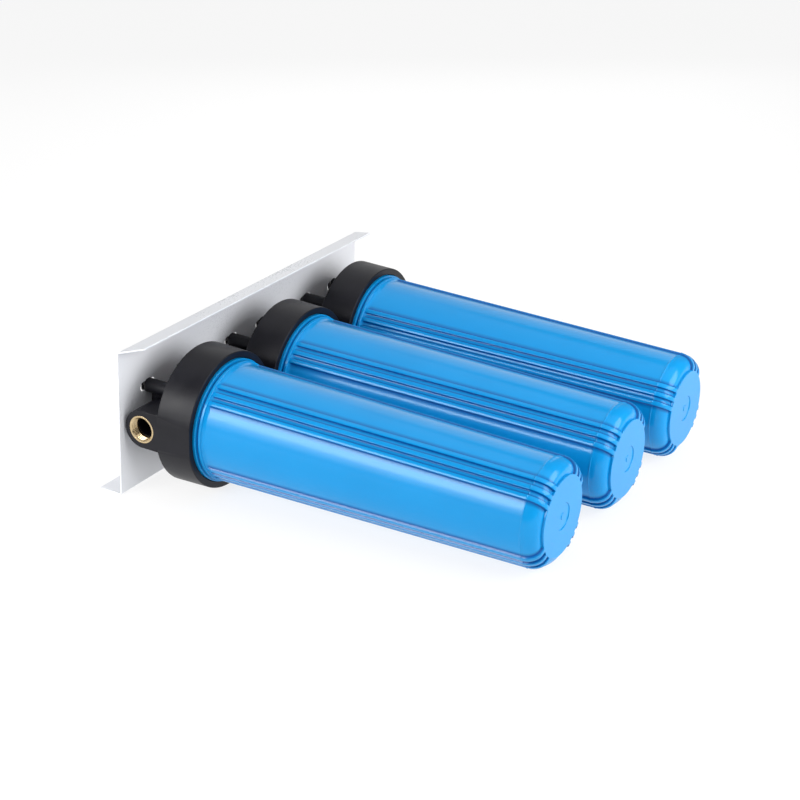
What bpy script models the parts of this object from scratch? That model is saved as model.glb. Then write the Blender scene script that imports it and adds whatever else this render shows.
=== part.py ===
# Three-stage cartridge water filter: three ribbed blue sumps screwed into black heads on one white bracket.
# Units are metres and +Z is up. The filter lies as it is photographed: its wall flange faces down, the
# housings' axes run along +X towards the closed ends of the sumps, and the stages stand in a row along Y.
# The origin is the centre of the wall flange's outer face.

import math

import bmesh
import bpy
from mathutils import Matrix, Vector

# Clearances and facets

fit_gap = 0.0003
cut_overrun = 0.001
weld_distance = 0.000001
large_segments = 28
middle_segments = 20
small_segments = 16
tiny_segments = 8
corner_steps = 3
slot_end_steps = 4
block_arc_steps = 10
rib_root_steps = 2
sharp_angle = math.radians(32)
facet_share = math.cos(math.pi / large_segments)

# Cartridge, whose outer radius sets the width of the whole housing

cartridge_radius = 0.057
cartridge_length = 0.5079
gasket_thickness = 0.003
end_cap_thickness = 0.006
core_wall = 0.0028
core_radius = 0.0172

# Sump, its radii worked outwards from the cartridge

mouth_water_gap = 0.0113
mouth_wall = 0.0084
neck_step = 0.0011
thread_depth = 0.0024
thread_pitch = 0.006
thread_runout = 0.003
thread_shoulder = 0.0022
collar_step_depth = 0.0022
collar_groove_depth = 0.0006
collar_reach = 0.0033
collar_step_reach = 0.0038
panel_step = 0.0039
foot_water_gap = 0.0059
foot_wall = 0.0053
dome_length = 0.0228
dome_width = 0.0162
disc_step = 0.0035
bottom_thickness = 0.0088
boss_length = 0.0125
mouth_gap = 0.0045
rib_height = 0.003
rib_width = 0.0085
rib_pitch_deg = 10.0
rib_groups = 4
ribs_in_group = 3
rib_root_depth = 0.0015
o_ring_thickness = 0.0044
o_ring_sections = 6
seal_sections = 4
groove_lip = 0.003
bore_radius_top = cartridge_radius + mouth_water_gap
neck_radius = bore_radius_top + mouth_wall
male_root_radius = neck_radius + neck_step
male_crest_radius = male_root_radius + thread_depth
collar_radius = male_crest_radius + thread_shoulder
collar_step_radius = collar_radius - collar_step_depth
panel_radius_top = collar_step_radius - panel_step
bore_radius_low = cartridge_radius + foot_water_gap
panel_radius_low = bore_radius_low + foot_wall
disc_radius = panel_radius_low - dome_width
floor_radius = (cartridge_radius + fit_gap) / facet_share

# Ports, measured along the housing's axis from the plate's front face

port_radius = 0.026
port_plate_gap = 0.0025
port_to_cap = 0.025
port_inset = 0.0025
insert_radius = 0.0195
insert_bore_radius = 0.0152
insert_length = 0.02
insert_chamfer = 0.0012
inner_bore_radius = 0.0135
inlet_bore_end = 0.025
outlet_bore_end = 0.007
inlet_passage_radius = 0.008
inlet_passage_place = 0.04
nipple_hex_width = 0.036
nipple_bore_radius = 0.0125
port_axis = port_radius + port_plate_gap

# Filter head, measured the same way. Its bores clear the sump's corners at any turn.

cap_skirt = 0.0508
cap_draft = 0.0012
cap_bevel = 0.0015
crown_thickness = 0.008
rim_wall = 0.00878
rim_depth = 0.0053
spigot_radius = 0.0135
spigot_bore_radius = 0.0095
spigot_length = 0.0155
spigot_clearance = 0.001
seat_radius = 0.0235
seat_height = 0.003
cap_back = port_axis + port_to_cap
ceiling = cap_back + crown_thickness
cap_front = cap_back + cap_skirt
shoulder = cap_front - rim_depth
seal_bore_radius = (neck_radius + fit_gap) / facet_share
female_crest_radius = (male_crest_radius + fit_gap) / facet_share
female_root_radius = female_crest_radius + thread_depth
rim_radius = (collar_radius + fit_gap) / facet_share
cap_radius = rim_radius + rim_wall
port_half_length = cap_radius - port_inset
end_hole_radius = spigot_radius + spigot_clearance

# Heights of the cartridge and the sump, measured the same way

cartridge_start = ceiling + seat_height + fit_gap
cartridge_end = cartridge_start + cartridge_length
sump_floor = cartridge_end + fit_gap + seat_height
sump_end = sump_floor + bottom_thickness
sump_mouth = ceiling + mouth_gap
collar_front = cap_front + collar_reach
step_front = collar_front + collar_step_reach
dome_start = sump_end - dome_length
o_ring_centre_radius = seal_bore_radius - fit_gap - o_ring_thickness / 2
groove_floor_radius = (o_ring_centre_radius - o_ring_thickness / 2) * facet_share - fit_gap
groove_start = sump_mouth + groove_lip
groove_end = groove_start + o_ring_thickness + 2 * fit_gap
seal_bore_end = groove_end + groove_lip
thread_start = seal_bore_end + female_crest_radius - seal_bore_radius + fit_gap
thread_lands = int((shoulder - thread_runout - thread_start) / thread_pitch)

# Stages

stage_count = 3
cap_gap = 0.0031
stage_pitch = 2 * cap_radius + cap_gap
sump_turn_deg = (131.5, 135.9, 146.8)

# Bracket, a folded sheet

sheet_thickness = 0.002
bend_radius = 0.003
bracket_end_margin = 0.004
plate_bottom_margin = 0.00735
plate_top_margin = 0.00955
lip_reach = 0.0332
lip_slope = math.radians(15)
lip_corner_cut = 0.0122
flange_depth = 0.0355
slot_length = 0.031
slot_width = 0.013
wall_slot_length = 0.02
wall_slot_width = 0.009
wall_slot_inset = 0.046
bracket_length = stage_count * stage_pitch + 2 * bracket_end_margin
plate_height = 2 * cap_radius + plate_bottom_margin + plate_top_margin
axis_height = cap_radius + plate_bottom_margin
plate_front_x = (flange_depth + sheet_thickness) / 2

# Mounting posts, webs and screws

post_radius = 0.0095
post_offset = 0.0375
web_thickness = 0.004
web_start = 0.003
screw_hole_radius = 0.0037
screw_radius = screw_hole_radius - fit_gap
screw_depth = 0.022
washer_radius = 0.011
washer_thickness = 0.0018
hex_width = 0.013
hex_height = 0.0053
hex_sink = 0.0004

# Pressure-relief button, on the side that faces away from the wall

relief_place_z = 0.046
relief_boss_radius = 0.0085
relief_boss_height = 0.012
relief_well_radius = 0.006
relief_well_depth = 0.008
relief_stem_radius = 0.0022
relief_button_radius = 0.0055
relief_button_thickness = 0.004
relief_button_rise = 0.003
relief_seal_thickness = 0.0018
relief_foot_radius = 0.0045
relief_foot_thickness = 0.0016
spring_wire_radius = 0.00045
spring_radius = 0.0038
spring_turns = 3
spring_points_per_turn = 6
relief_boss_top = cap_back - relief_boss_height
relief_face = relief_boss_top - relief_button_rise
relief_well_floor = relief_boss_top + relief_well_depth
relief_spring_start = relief_face + relief_button_thickness + fit_gap
relief_seal_centre = relief_stem_radius + fit_gap + relief_seal_thickness / 2

# Places that repeat

stage_places = [stage_pitch * (index - (stage_count - 1) / 2) for index in range(stage_count)]
post_sides = [(-1, -1), (-1, 1), (1, -1), (1, 1)]
wall_slot_shares = (-1.0, -1 / 3, 1 / 3, 1.0)

# Colours as (red, green, blue), roughness and metallic value

white_paint = ((0.84, 0.86, 0.88), 0.35, 0.0)
black_plastic = ((0.013, 0.013, 0.015), 0.42, 0.0)
blue_plastic = ((0.010, 0.300, 0.800), 0.22, 0.0)
black_rubber = ((0.02, 0.02, 0.02), 0.7, 0.0)
white_media = ((0.80, 0.79, 0.75), 0.9, 0.0)
white_plastic = ((0.75, 0.75, 0.73), 0.45, 0.0)
red_plastic = ((0.60, 0.03, 0.03), 0.35, 0.0)
brass = ((0.72, 0.49, 0.18), 0.25, 1.0)
zinc_steel = ((0.62, 0.63, 0.64), 0.3, 1.0)


def clear_scene():
    for item in list(bpy.data.objects):
        bpy.data.objects.remove(item)


def new_collection(name):
    collection = bpy.data.collections.new(name)
    bpy.context.scene.collection.children.link(collection)
    return collection


def new_material(name, finish):
    colour, roughness, metallic = finish
    material = bpy.data.materials.new(name)
    material.use_nodes = True
    shader = material.node_tree.nodes["Principled BSDF"]
    shader.inputs["Base Color"].default_value = (*colour, 1.0)
    shader.inputs["Roughness"].default_value = roughness
    shader.inputs["Metallic"].default_value = metallic
    material.diffuse_color = (*colour, 1.0)
    return material


def as_mesh(item):
    """Replace an object by a plain mesh object with its modifiers applied, welded and facing outwards."""
    bpy.context.view_layer.update()
    evaluated = item.evaluated_get(bpy.context.evaluated_depsgraph_get())
    mesh = bpy.data.meshes.new_from_object(evaluated)
    faces = bmesh.new()
    faces.from_mesh(mesh)
    bmesh.ops.remove_doubles(faces, verts=faces.verts, dist=weld_distance)
    bmesh.ops.recalc_face_normals(faces, faces=faces.faces)
    faces.to_mesh(mesh)
    faces.free()
    solid = bpy.data.objects.new(item.name + "_solid", mesh)
    solid.matrix_world = item.matrix_world.copy()
    cutters.objects.link(solid)
    solid.hide_render = True
    solid.display_type = "WIRE"
    bpy.data.objects.remove(item)
    return solid


def turned(name, profile, segments=large_segments):
    """Turn (radius, height) points about Z. A profile that misses the axis is closed into a ring."""
    mesh = bpy.data.meshes.new(name)
    points = [(radius, 0.0, height) for radius, height in profile]
    edges = [(index, index + 1) for index in range(len(points) - 1)]
    if profile[0][0] > 0 and profile[-1][0] > 0:
        edges.append((len(points) - 1, 0))
    mesh.from_pydata(points, edges, [])
    item = bpy.data.objects.new(name, mesh)
    cutters.objects.link(item)
    screw = item.modifiers.new("turn", "SCREW")
    screw.steps = segments
    screw.render_steps = segments
    screw.use_merge_vertices = True
    screw.merge_threshold = weld_distance
    return as_mesh(item)


def outline_plate(name, outline, thickness):
    """Extrude a closed outline in the XY plane to a plate centred on that plane."""
    curve = bpy.data.curves.new(name, "CURVE")
    curve.dimensions = "2D"
    curve.fill_mode = "BOTH"
    curve.extrude = thickness / 2
    spline = curve.splines.new("POLY")
    spline.points.add(len(outline) - 1)
    for point, (x, y) in zip(spline.points, outline):
        point.co = (x, y, 0.0, 1.0)
    spline.use_cyclic_u = True
    item = bpy.data.objects.new(name, curve)
    cutters.objects.link(item)
    return as_mesh(item)


def cylinder(name, radius, low, high, segments=small_segments):
    """Round bar along Z between two heights."""
    return turned(name, [(0.0, high), (radius, high), (radius, low), (0.0, low)], segments)


def place(item, matrix):
    """Move an object's mesh by a matrix, so that its own origin stays where the piece is measured from."""
    item.data.transform(matrix)
    return item


def combine(item, operation, tools):
    """Join or cut an object with several others, and return the finished solid."""
    for tool in tools:
        modifier = item.modifiers.new(tool.name, "BOOLEAN")
        modifier.operation = operation
        modifier.solver = "EXACT"
        modifier.object = tool
    result = as_mesh(item)
    for tool in tools:
        bpy.data.objects.remove(tool)
    return result


def arc(centre, radii, start_deg, end_deg, steps):
    """Points of an ellipse's arc, both ends included."""
    points = []
    for step in range(steps + 1):
        angle = math.radians(start_deg + (end_deg - start_deg) * step / steps)
        points.append((centre[0] + radii[0] * math.cos(angle), centre[1] + radii[1] * math.sin(angle)))
    return points


def obround(length, width):
    """Outline of a slot with round ends, its length along X."""
    reach = (length - width) / 2
    radii = (width / 2, width / 2)
    right = arc((reach, 0.0), radii, -90, 90, slot_end_steps)
    left = arc((-reach, 0.0), radii, 90, 270, slot_end_steps)
    return right + left


def rounded_chain(corners, radius, steps):
    """A chain of points whose inner corners are replaced by arcs."""
    points = [Vector(corners[0])]
    for before, corner, after in zip(corners, corners[1:], corners[2:]):
        towards = (Vector(before) - Vector(corner)).normalized()
        away = (Vector(after) - Vector(corner)).normalized()
        half_angle = towards.angle(away) / 2
        centre = Vector(corner) + (towards + away).normalized() * radius / math.sin(half_angle)
        first = Vector(corner) + towards * radius / math.tan(half_angle) - centre
        last = Vector(corner) + away * radius / math.tan(half_angle) - centre
        for step in range(steps + 1):
            sweep = Matrix.Rotation(first.angle(last) * step / steps, 3, first.cross(last))
            points.append(centre + sweep @ first)
    points.append(Vector(corners[-1]))
    return points


def finish(name, source, parent, material, location=(0.0, 0.0, 0.0), turn=0.0):
    """Put a named piece into the part's collection, sharing the source's mesh."""
    item = bpy.data.objects.new(name, source.data)
    part.objects.link(item)
    item.parent = parent
    item.location = location
    item.rotation_euler = (0.0, 0.0, turn)
    if not source.data.materials:
        source.data.materials.append(material)
        source.data.shade_smooth()
        source.data.set_sharp_from_angle(angle=sharp_angle)
    return item


def make_bracket():
    """Folded sheet: wall flange, plate and sloping lip, slotted for the wall and for the heads' screws."""
    half_sheet = sheet_thickness / 2
    plate_x = plate_front_x - half_sheet
    lip_run = lip_reach + half_sheet
    corners = [
        (plate_front_x - flange_depth, 0.0, half_sheet),
        (plate_x, 0.0, half_sheet),
        (plate_x, 0.0, plate_height),
        (plate_x + lip_run, 0.0, plate_height + lip_run * math.tan(lip_slope)),
    ]
    chain = rounded_chain(corners, bend_radius, corner_steps)
    mesh = bpy.data.meshes.new("bracket_sheet")
    faces = bmesh.new()
    row = [faces.verts.new(point - Vector((0.0, bracket_length / 2, 0.0))) for point in chain]
    edges = [faces.edges.new(pair) for pair in zip(row, row[1:])]
    moved = bmesh.ops.extrude_edge_only(faces, edges=edges)["geom"]
    new_points = [item for item in moved if isinstance(item, bmesh.types.BMVert)]
    bmesh.ops.translate(faces, verts=new_points, vec=(0.0, bracket_length, 0.0))
    bmesh.ops.recalc_face_normals(faces, faces=faces.faces)
    faces.to_mesh(mesh)
    faces.free()
    sheet = bpy.data.objects.new("bracket_sheet", mesh)
    cutters.objects.link(sheet)
    solidify = sheet.modifiers.new("sheet", "SOLIDIFY")
    solidify.thickness = sheet_thickness
    solidify.offset = 0.0
    solidify.use_even_offset = True
    return combine(as_mesh(sheet), "DIFFERENCE", bracket_cutters())


def bracket_cutters():
    """Slots for the wall screws and the heads' screws, and wedges that slant the lip's corners."""
    tools = []
    cut_depth = sheet_thickness + 2 * cut_overrun
    along_y = Matrix.Rotation(math.radians(90), 4, "Z")
    facing_x = Matrix.Rotation(math.radians(90), 4, "Y") @ along_y
    wall_reach = bracket_length / 2 - wall_slot_inset
    for index, share in enumerate(wall_slot_shares):
        slot = outline_plate(f"wall_slot_{index}", obround(wall_slot_length, wall_slot_width), cut_depth)
        centre = Matrix.Translation((0.0, share * wall_reach, sheet_thickness / 2))
        tools.append(place(slot, centre @ along_y))
    for stage_y in stage_places:
        for side_y, side_z in post_sides:
            name = f"post_slot_{len(tools)}"
            slot = outline_plate(name, obround(slot_length, slot_width), cut_depth)
            height = axis_height + side_z * post_offset
            place_y = stage_y + side_y * post_offset
            centre = Matrix.Translation((plate_front_x - sheet_thickness / 2, place_y, height))
            tools.append(place(slot, centre @ facing_x))
    lip_rise = lip_reach * math.tan(lip_slope)
    for side in (-1, 1):
        tip = lip_reach + cut_overrun
        cut = lip_corner_cut * (tip - bend_radius) / (lip_reach - bend_radius)
        outside = side * cut_overrun
        outline = [(bend_radius, 0.0), (tip, -side * cut), (tip, outside), (bend_radius, outside)]
        wedge = outline_plate(f"lip_wedge_{side}", outline, lip_rise + 4 * bend_radius)
        corner = (plate_front_x, side * bracket_length / 2, plate_height + lip_rise / 2)
        tools.append(place(wedge, Matrix.Translation(corner)))
    return tools


def thread_profile(crest_radius, root_radius, start):
    """V-shaped rings that stand for the coarse thread, as (radius, height) points from the start upwards."""
    points = [(root_radius, start)]
    for land in range(thread_lands):
        foot = start + land * thread_pitch
        points.append((crest_radius, foot + thread_pitch / 2))
        points.append((root_radius, foot + thread_pitch))
    return points


def make_head():
    """Cap with its skirt, the port block across its back, four posts with webs, and the cartridge spigot."""
    back_radius = cap_radius + cap_draft
    inside = [(rim_radius, cap_front), (rim_radius, shoulder), (female_crest_radius, shoulder)]
    thread = thread_profile(female_root_radius, female_crest_radius, thread_start)
    outside = [
        (0.0, ceiling + spigot_length),
        (spigot_radius, ceiling + spigot_length),
        (spigot_radius, ceiling + seat_height),
        (seat_radius, ceiling + seat_height),
        (seat_radius, ceiling),
        (seal_bore_radius, ceiling),
        (seal_bore_radius, seal_bore_end),
        (female_crest_radius, seal_bore_end + female_crest_radius - seal_bore_radius),
    ]
    wall = [
        (cap_radius - cap_bevel, cap_front),
        (cap_radius, cap_front - cap_bevel),
        (back_radius, cap_back + cap_bevel),
        (back_radius - cap_bevel, cap_back),
        (0.0, cap_back),
    ]
    profile = outside + thread + list(reversed(inside)) + wall
    cap = turned("head", profile)
    head = combine(cap, "UNION", head_additions())
    return combine(head, "DIFFERENCE", head_cutters())


def head_additions():
    """The port block, the four mounting posts and their webs, and the relief boss."""
    root = cap_back + cut_overrun
    block_outline = arc((port_axis, 0.0), (port_radius, port_radius), 90, 270, block_arc_steps)
    block_outline += [(root, -port_radius), (root, port_radius)]
    block = outline_plate("port_block", block_outline, 2 * port_half_length)
    pieces = [place(block, upright)]
    web_foot = port_radius - cut_overrun
    web_top = post_offset
    for side_y, side_z in post_sides:
        centre = Matrix.Translation((-side_z * post_offset, side_y * post_offset, 0.0))
        post = cylinder(f"post_{len(pieces)}", post_radius, fit_gap, root, small_segments)
        pieces.append(place(post, centre))
        outline = [(web_foot, web_start), (web_top, web_start), (web_top, root), (web_foot, root)]
        web = outline_plate(f"web_{len(pieces)}", outline, web_thickness)
        stand = Matrix(((-side_z, 0, 0, 0), (0, 0, side_z, side_y * post_offset), (0, 1, 0, 0), (0, 0, 0, 1)))
        pieces.append(place(web, stand))
    boss = cylinder("relief_boss", relief_boss_radius, relief_boss_top, root, tiny_segments)
    pieces.append(place(boss, Matrix.Translation((-relief_place_z, 0.0, 0.0))))
    return pieces


def head_cutters():
    """Screw holes, insert pockets, inlet and outlet bores, the two passages and the relief valve's hole."""
    tools = []
    for side_y, side_z in post_sides:
        depth = screw_depth + fit_gap
        hole = cylinder(f"hole_{len(tools)}", screw_hole_radius, -cut_overrun, depth, tiny_segments)
        tools.append(place(hole, Matrix.Translation((-side_z * post_offset, side_y * post_offset, 0.0))))
    for side, bore_end in ((-1, inlet_bore_end), (1, -outlet_bore_end)):
        to_side = Matrix.Rotation(math.radians(-90 * side), 4, "X")
        bore = port_bore(f"port_bore_{side}", bore_end)
        tools.append(place(bore, Matrix.Translation((0.0, 0.0, port_axis)) @ to_side))
    spigot_top = ceiling + spigot_length + cut_overrun
    tools.append(cylinder("spigot_bore", spigot_bore_radius, port_axis, spigot_top, tiny_segments))
    passage = cylinder("inlet_passage", inlet_passage_radius, port_axis, ceiling + cut_overrun, tiny_segments)
    tools.append(place(passage, Matrix.Translation((0.0, -inlet_passage_place, 0.0))))
    hole_profile = [
        (0.0, ceiling + cut_overrun),
        (relief_stem_radius + fit_gap, ceiling + cut_overrun),
        (relief_stem_radius + fit_gap, relief_well_floor),
        (relief_well_radius, relief_well_floor),
        (relief_well_radius, relief_boss_top - cut_overrun),
        (0.0, relief_boss_top - cut_overrun),
    ]
    relief_hole = turned("relief_hole", hole_profile, tiny_segments)
    tools.append(place(relief_hole, Matrix.Translation((-relief_place_z, 0.0, 0.0))))
    return tools


def port_bore(name, bore_end):
    """Cutter for one port: the insert's pocket, then the narrower bore down to its end."""
    face = port_half_length + cut_overrun
    pocket_end = port_half_length - insert_length - fit_gap
    profile = [
        (0.0, face),
        (insert_radius + fit_gap, face),
        (insert_radius + fit_gap, pocket_end),
        (inner_bore_radius, pocket_end),
        (inner_bore_radius, bore_end),
        (0.0, bore_end),
    ]
    return turned(name, profile, small_segments)


def dome_points(side_radius, end_radius, end_height, steps):
    """Quarter ellipse from the end of the wall round to the flat end, as (radius, height) points."""
    radii = (side_radius - end_radius, end_height - dome_start)
    return arc((end_radius, dome_start), radii, 0, 90, steps)


def make_sump():
    """Cup with a sealing groove, thread, stepped collar, tapered wall, domed end and raised end disc."""
    groove_radius = collar_step_radius - collar_groove_depth
    thread = thread_profile(male_crest_radius, male_root_radius, thread_start)
    thread[0] = (neck_radius, thread_start)
    dome = dome_points(panel_radius_low, disc_radius, sump_end - disc_step, corner_steps)
    outside = [
        (bore_radius_top, sump_mouth),
        (neck_radius, sump_mouth),
        (neck_radius, groove_start),
        (groove_floor_radius, groove_start),
        (groove_floor_radius, groove_end),
        (neck_radius, groove_end),
        *thread,
        (male_root_radius, shoulder + fit_gap),
        (collar_radius, shoulder + fit_gap),
        (collar_radius, collar_front),
        (groove_radius, collar_front),
        (collar_step_radius, step_front),
        (panel_radius_top, step_front),
        *dome,
        (disc_radius, sump_end),
        (0.0, sump_end),
    ]
    boss_height = sump_floor - boss_length
    inside = [
        (0.0, boss_height),
        (spigot_radius, boss_height),
        (spigot_radius, sump_floor - seat_height),
        (seat_radius, sump_floor - seat_height),
        (seat_radius, sump_floor),
        (floor_radius, sump_floor),
        (bore_radius_low, dome_start),
    ]
    cup = turned("sump", list(reversed(outside)) + list(reversed(inside)))
    return combine(cup, "UNION", sump_ribs())


def sump_ribs():
    """Groups of parallel ribs that run from the collar along the wall and round the dome to the end disc."""
    root_top = panel_radius_top - rib_root_depth
    root_low = panel_radius_low - rib_root_depth
    crest = [(panel_radius_top + rib_height, step_front - fit_gap)]
    crest += dome_points(panel_radius_low + rib_height, disc_radius, sump_end, corner_steps + 1)
    root_end = (disc_radius - rib_root_depth, sump_end - disc_step - rib_root_depth)
    root = [(root_top, step_front - fit_gap)] + dome_points(root_low, *root_end, rib_root_steps)
    crest.append((disc_radius - rib_root_depth, sump_end))
    outline = [(height, radius) for radius, height in crest + list(reversed(root))]
    ribs = []
    for group in range(rib_groups):
        for index in range(ribs_in_group):
            angle = 360 / rib_groups * group + rib_pitch_deg * (index - (ribs_in_group - 1) / 2)
            rib = outline_plate(f"rib_{group}_{index}", outline, rib_width)
            ribs.append(place(rib, Matrix.Rotation(math.radians(angle), 4, "Z") @ upright))
    return ribs


def ring(name, inner, outer, low, high, segments):
    """Plain ring of rectangular section."""
    profile = [(outer, high), (outer, low), (inner, low), (inner, high)]
    return turned(name, profile, segments)


def round_ring(name, centre_radius, thickness, sections, segments):
    """Ring of round section centred on the origin's plane."""
    radii = (thickness / 2, thickness / 2)
    section = arc((centre_radius, 0.0), radii, 0, -360, sections)[:-1]
    return turned(name, section, segments)


def make_screw():
    """Hexagon screw with a fixed washer. Its head's bearing face is at height zero and it points to +Z."""
    washer_low = -washer_thickness
    body = [
        (0.0, screw_depth + sheet_thickness),
        (screw_radius, screw_depth + sheet_thickness),
        (screw_radius, 0.0),
        (washer_radius, 0.0),
        (washer_radius, washer_low),
        (0.0, washer_low),
    ]
    hexagon = cylinder("hexagon", hex_width / math.sqrt(3), washer_low - hex_height, washer_low + hex_sink, 6)
    return combine(turned("screw", body, tiny_segments), "UNION", [hexagon])


def make_nipple():
    """Hexagon nipple that joins two neighbouring ports, its length along Z and centred."""
    half_gap = stage_pitch / 2 - port_half_length
    reach = half_gap + insert_length - insert_chamfer
    hex_reach = half_gap - fit_gap
    hexagon = cylinder("nipple_hexagon", nipple_hex_width / math.sqrt(3), -hex_reach, hex_reach, 6)
    thread_radius = insert_bore_radius - fit_gap
    body = cylinder("nipple", thread_radius, -reach, reach)
    body = combine(body, "UNION", [hexagon])
    bore = cylinder("nipple_bore", nipple_bore_radius, -reach - cut_overrun, reach + cut_overrun)
    return combine(body, "DIFFERENCE", [bore])


def make_insert():
    """Threaded port insert, chamfered at its mouth. Its outer face is at height zero, pointing to +Z."""
    profile = [
        (insert_radius, 0.0),
        (insert_radius, -insert_length),
        (insert_bore_radius, -insert_length),
        (insert_bore_radius, -insert_chamfer),
        (insert_bore_radius + insert_chamfer, 0.0),
    ]
    return turned("insert", profile, small_segments)


def make_relief_button():
    """Button, stem and foot in one. Height zero is the button's outer face, and it is pressed to +Z."""
    foot_start = ceiling - relief_face + relief_seal_thickness + 2 * fit_gap
    profile = [
        (0.0, foot_start + relief_foot_thickness),
        (relief_foot_radius, foot_start + relief_foot_thickness),
        (relief_foot_radius, foot_start),
        (relief_stem_radius, foot_start),
        (relief_stem_radius, relief_button_thickness),
        (relief_button_radius, relief_button_thickness),
        (relief_button_radius, 0.0),
        (0.0, 0.0),
    ]
    return turned("relief_button", profile, tiny_segments)


def make_spring():
    """Return spring between the button and its well's floor, an unbroken coil of round wire along Z."""
    length = relief_well_floor - fit_gap - relief_spring_start
    curve = bpy.data.curves.new("relief_spring", "CURVE")
    curve.dimensions = "3D"
    curve.bevel_depth = spring_wire_radius
    curve.bevel_resolution = 0
    curve.use_fill_caps = True
    spline = curve.splines.new("POLY")
    count = spring_turns * spring_points_per_turn
    spline.points.add(count)
    rise = length - 2 * spring_wire_radius
    for index, point in enumerate(spline.points):
        angle = 2 * math.pi * index / spring_points_per_turn
        height = spring_wire_radius + rise * index / count
        point.co = (spring_radius * math.cos(angle), spring_radius * math.sin(angle), height, 1.0)
    item = bpy.data.objects.new("relief_spring", curve)
    cutters.objects.link(item)
    return as_mesh(item)


def build_stage(index, shared, finishes):
    """One housing with all that it holds, hung on an empty whose Z axis is the housing's axis."""
    number = index + 1
    axis = bpy.data.objects.new(f"housing_{number}_axis", None)
    axis.location = (plate_front_x, stage_places[index], axis_height)
    axis.rotation_euler = (0.0, math.radians(90), 0.0)
    part.objects.link(axis)

    def add(name, source, finish_name, height=0.0, turn=0.0):
        place_on_axis = (0.0, 0.0, height)
        return finish(f"{name}_{number}", shared[source], axis, finishes[finish_name], place_on_axis, turn)

    add("filter_head", "head", "black_plastic")
    add("sump", "sump", "blue_plastic", 0.0, math.radians(sump_turn_deg[index] + 90))
    add("sump_o_ring", "o_ring", "black_rubber", (groove_start + groove_end) / 2)
    add("cartridge_media", "media", "white_media", cartridge_start)
    add("cartridge_core", "core", "white_plastic", cartridge_start)
    add("cartridge_top_gasket", "gasket", "black_rubber", cartridge_start)
    add("cartridge_top_cap", "end_cap", "white_plastic", cartridge_start + gasket_thickness + fit_gap)
    low_gasket = cartridge_end - gasket_thickness
    add("cartridge_bottom_gasket", "gasket", "black_rubber", low_gasket)
    add("cartridge_bottom_cap", "end_cap", "white_plastic", low_gasket - fit_gap - end_cap_thickness)
    for port, side in (("inlet", -1), ("outlet", 1)):
        insert = add(f"{port}_insert", "insert", "brass", port_axis)
        insert.location.y = side * port_half_length
        insert.rotation_euler = (math.radians(-90 * side), 0.0, 0.0)
    for letter, (side_y, side_z) in zip("abcd", post_sides):
        screw = add(f"mount_screw_{letter}", "screw", "zinc_steel", -sheet_thickness - fit_gap)
        screw.location.x = -side_z * post_offset
        screw.location.y = side_y * post_offset
    relief_parts = (
        ("relief_button", "relief_button", "red_plastic", relief_face),
        ("relief_spring", "relief_spring", "zinc_steel", relief_spring_start),
        ("relief_seal", "relief_seal", "black_rubber", ceiling + fit_gap + relief_seal_thickness / 2),
    )
    for name, source, finish_name, height in relief_parts:
        add(name, source, finish_name, height).location.x = -relief_place_z


def build_shared():
    """Every piece that repeats, made once."""
    media_length = cartridge_length - 2 * (gasket_thickness + end_cap_thickness + 2 * fit_gap)
    media_start = gasket_thickness + end_cap_thickness + 2 * fit_gap
    media_end = media_start + media_length
    media_bore = core_radius + fit_gap
    core_bore = core_radius - core_wall
    sump_seal = (o_ring_centre_radius, o_ring_thickness, o_ring_sections, large_segments)
    stem_seal = (relief_seal_centre, relief_seal_thickness, seal_sections, tiny_segments)
    cap_size = (end_hole_radius, cartridge_radius, 0.0, end_cap_thickness)
    return {
        "head": make_head(),
        "sump": make_sump(),
        "o_ring": round_ring("o_ring", *sump_seal),
        "media": ring("media", media_bore, cartridge_radius, media_start, media_end, middle_segments),
        "core": ring("core", core_bore, core_radius, media_start, media_end, middle_segments),
        "end_cap": ring("end_cap", *cap_size, middle_segments),
        "gasket": ring("gasket", end_hole_radius, seat_radius, 0.0, gasket_thickness, small_segments),
        "insert": make_insert(),
        "screw": make_screw(),
        "relief_button": make_relief_button(),
        "relief_spring": make_spring(),
        "relief_seal": round_ring("relief_seal", *stem_seal),
    }


upright = Matrix(((0, 1, 0, 0), (0, 0, 1, 0), (1, 0, 0, 0), (0, 0, 0, 1)))

clear_scene()
part = new_collection("three_stage_water_filter")
cutters = new_collection("cutters_and_masters")
materials = {
    "white_paint": new_material("white_paint", white_paint),
    "black_plastic": new_material("black_plastic", black_plastic),
    "blue_plastic": new_material("blue_plastic", blue_plastic),
    "black_rubber": new_material("black_rubber", black_rubber),
    "white_media": new_material("white_media", white_media),
    "white_plastic": new_material("white_plastic", white_plastic),
    "red_plastic": new_material("red_plastic", red_plastic),
    "brass": new_material("brass", brass),
    "zinc_steel": new_material("zinc_steel", zinc_steel),
}
finish("bracket", make_bracket(), None, materials["white_paint"])
masters = build_shared()
for stage in range(stage_count):
    build_stage(stage, masters, materials)
nipple = make_nipple()
for first in range(stage_count - 1):
    middle = (stage_places[first] + stage_places[first + 1]) / 2
    joint = finish(f"port_nipple_{first + 1}{first + 2}", nipple, None, materials["brass"])
    joint.location = (plate_front_x + port_axis, middle, axis_height)
    joint.rotation_euler = (math.radians(-90), 0.0, 0.0)
for master in [*masters.values(), nipple]:
    bpy.data.objects.remove(master)
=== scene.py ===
"""Looks of the three-stage water filter: blue ribbed sumps in black heads on a white folded bracket.

Lengths are metres and angles are degrees. A housing has coordinates of its own: heights run along +X from
the front face of the bracket's plate, radii are measured from the housing's axis, and angles turn from +Y
towards +Z.
"""

import math

import bmesh
import bpy
import numpy as np
from mathutils import Matrix, Vector


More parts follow.
